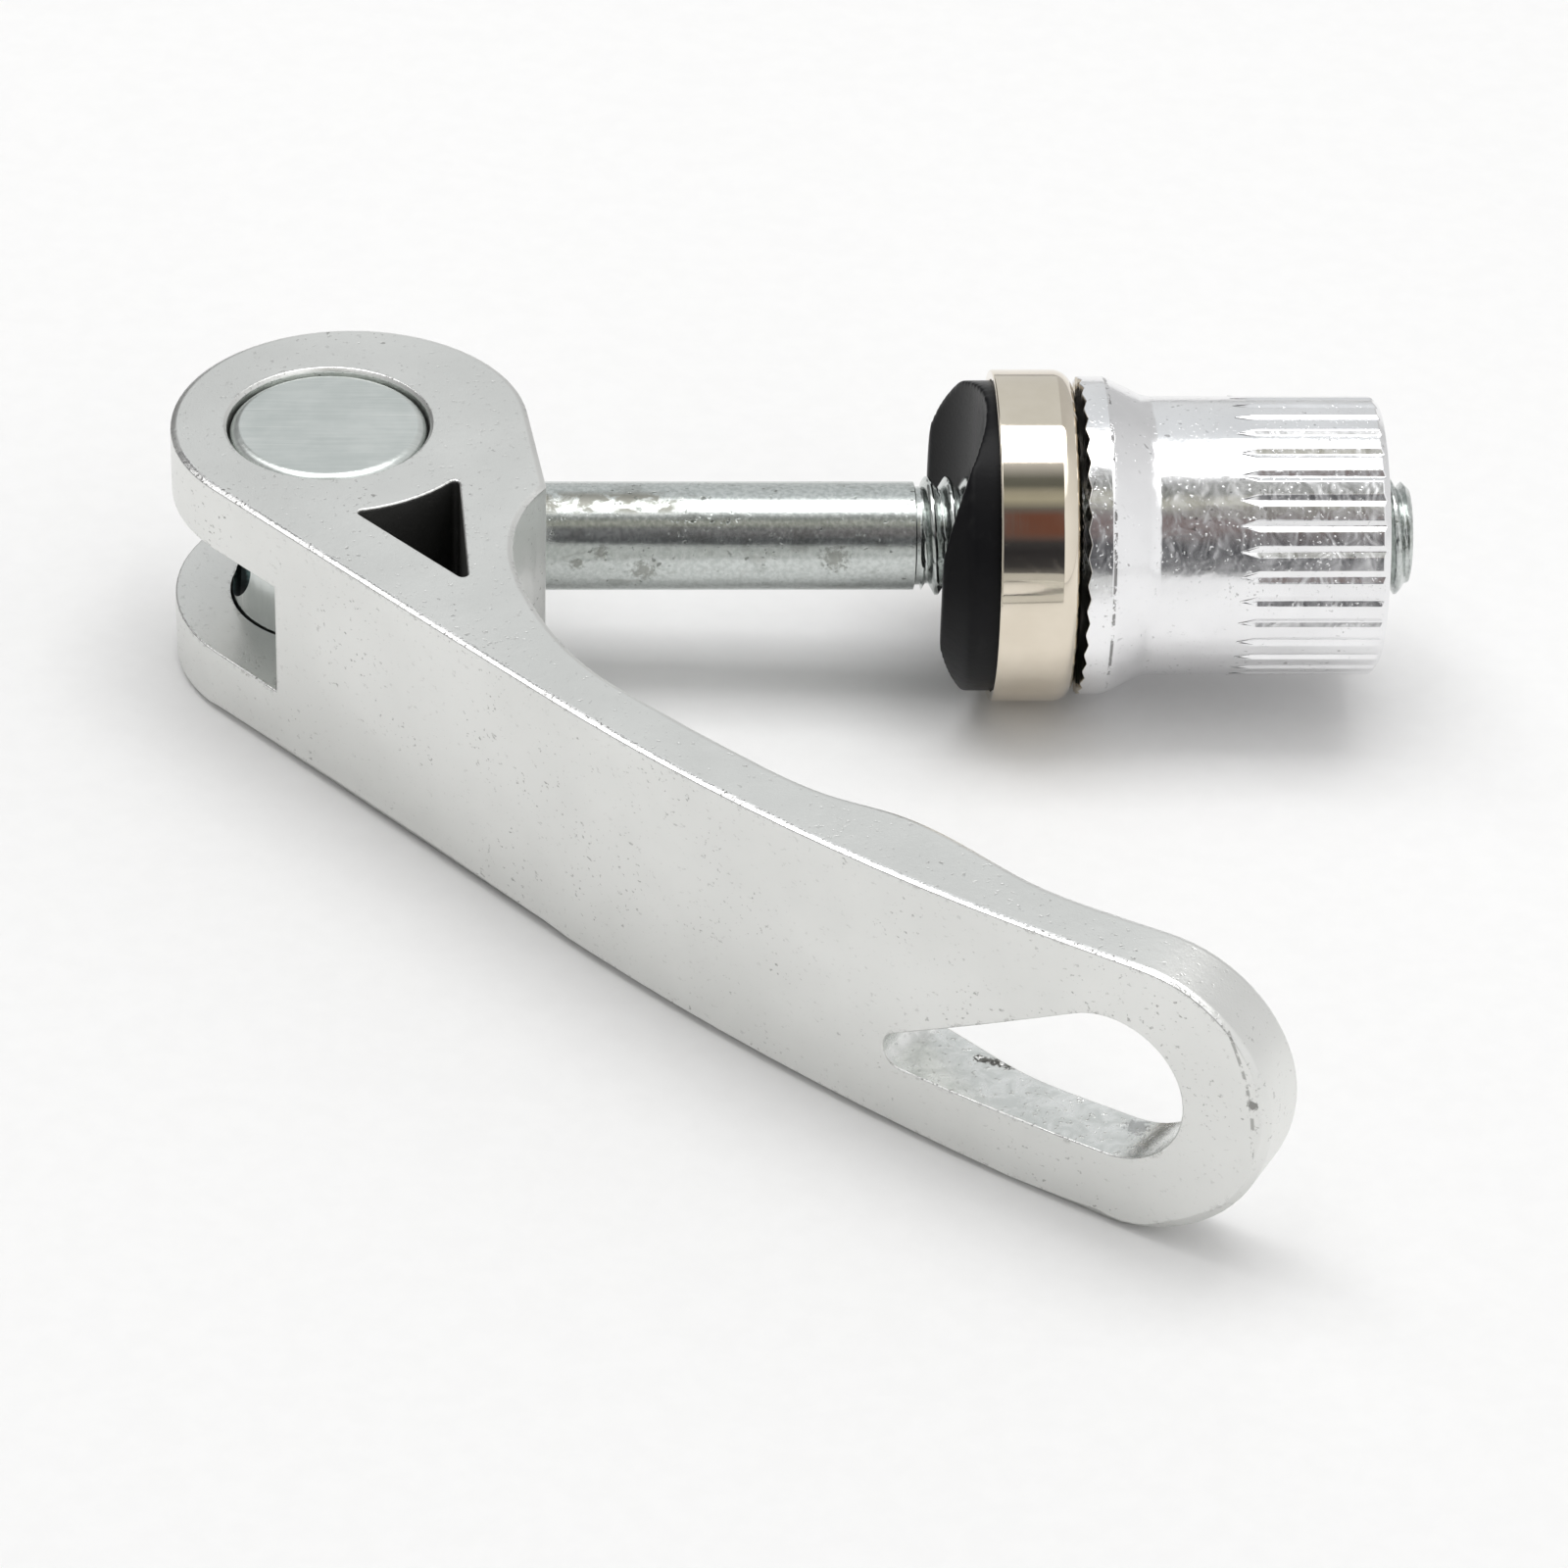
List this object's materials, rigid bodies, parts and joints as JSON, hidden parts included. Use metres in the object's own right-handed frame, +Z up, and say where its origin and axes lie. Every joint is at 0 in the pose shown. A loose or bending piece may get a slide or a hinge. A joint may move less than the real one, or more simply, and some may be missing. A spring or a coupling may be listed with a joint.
{
  "type": "quick release seatpost binder bolt",
  "caption": "Cam lever on a cross pin that draws a threaded bolt tight, with a plastic cam seat in a metal cup and a serrated thumb nut, to close a bicycle seatpost clamp.",
  "frame": {"origin": "where the bolt's axis crosses the lever's pivot axis", "axes": "+X along the bolt towards the nut, +Z up along the pivot pin"},
  "size_m": [0.0615, 0.0579, 0.0166],
  "materials": {
    "cast_aluminium": "tumbled satin casting",
    "zinc_steel": "bright zinc plate, stained",
    "black_plastic": "satin moulding",
    "nickel": "nickel plate, polished",
    "turned_aluminium": "turned and tumbled, bright"
  },
  "bodies": {
    "bolt_and_barrel": {"bolt": "zinc_steel", "barrel": "zinc_steel"},
    "cam_lever": {"lever": "cast_aluminium"},
    "washer": {"cam_seat": "black_plastic", "cup_washer": "nickel"},
    "nut": {"thumb_nut": "turned_aluminium"}
  },
  "joints": [
    {"name": "lever_pivot", "type": "hinge", "parent": "bolt_and_barrel", "child": "cam_lever", "pos_m": [0, 0, 0], "axis": [0, 0, 1], "range_deg": [-190, 0]},
    {"name": "washer_slide", "type": "slide", "parent": "bolt_and_barrel", "child": "washer", "axis": [1, 0, 0], "range_m": [-0.019, 0]},
    {"name": "nut_turn", "type": "hinge", "parent": "bolt_and_barrel", "child": "nut", "pos_m": [0.045, 0, 0], "axis": [1, 0, 0], "continuous": true}
  ]
}
